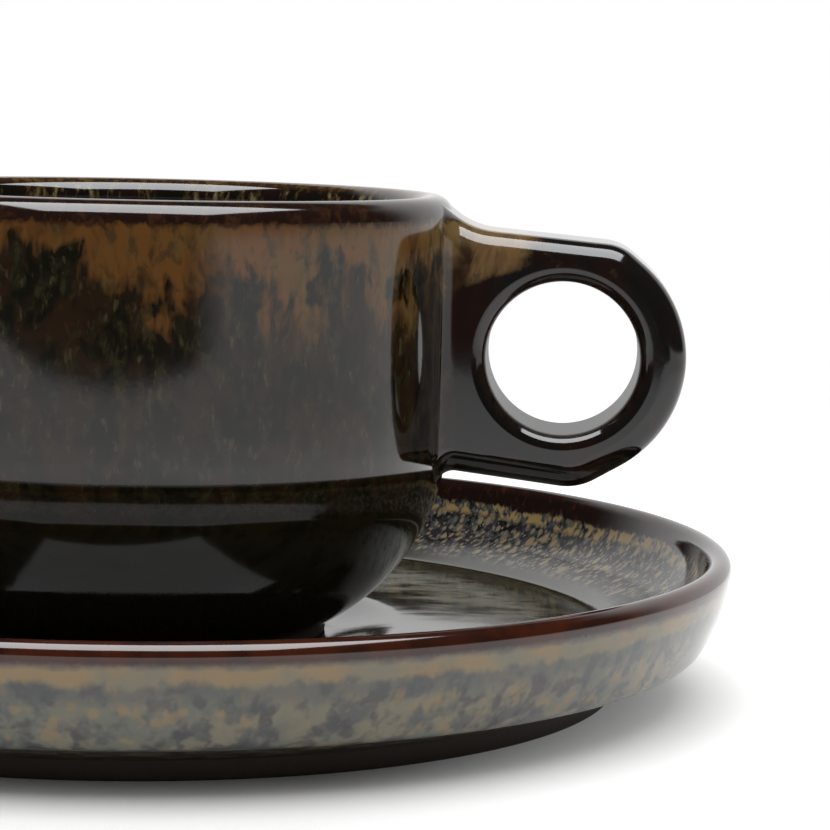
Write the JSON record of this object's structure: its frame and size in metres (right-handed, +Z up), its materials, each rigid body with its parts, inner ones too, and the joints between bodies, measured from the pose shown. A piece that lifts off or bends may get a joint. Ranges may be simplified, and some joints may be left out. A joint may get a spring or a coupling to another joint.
{
  "type": "espresso cup and saucer",
  "caption": "Round-bottomed stoneware espresso cup with a pierced ring handle, standing in the shallow seat of a flat-floored saucer.",
  "frame": {"origin": "on the table, under the axis that the cup and the saucer share", "axes": "+Z up along that axis, +X from the axis through the middle of the handle, +Y across the handle"},
  "size_m": [0.1286, 0.1286, 0.0524],
  "materials": {
    "cup_glaze": "gloss",
    "handle_glaze": "gloss",
    "saucer_glaze": "gloss"
  },
  "bodies": {
    "saucer": {"saucer": "saucer_glaze"},
    "cup": {"cup_body": "cup_glaze", "cup_handle": "handle_glaze"}
  },
  "joints": [
    {"name": "cup_lift", "type": "slide", "parent": "saucer", "child": "cup", "axis": [0, 0, 1], "range_m": [0, 0.1]}
  ]
}
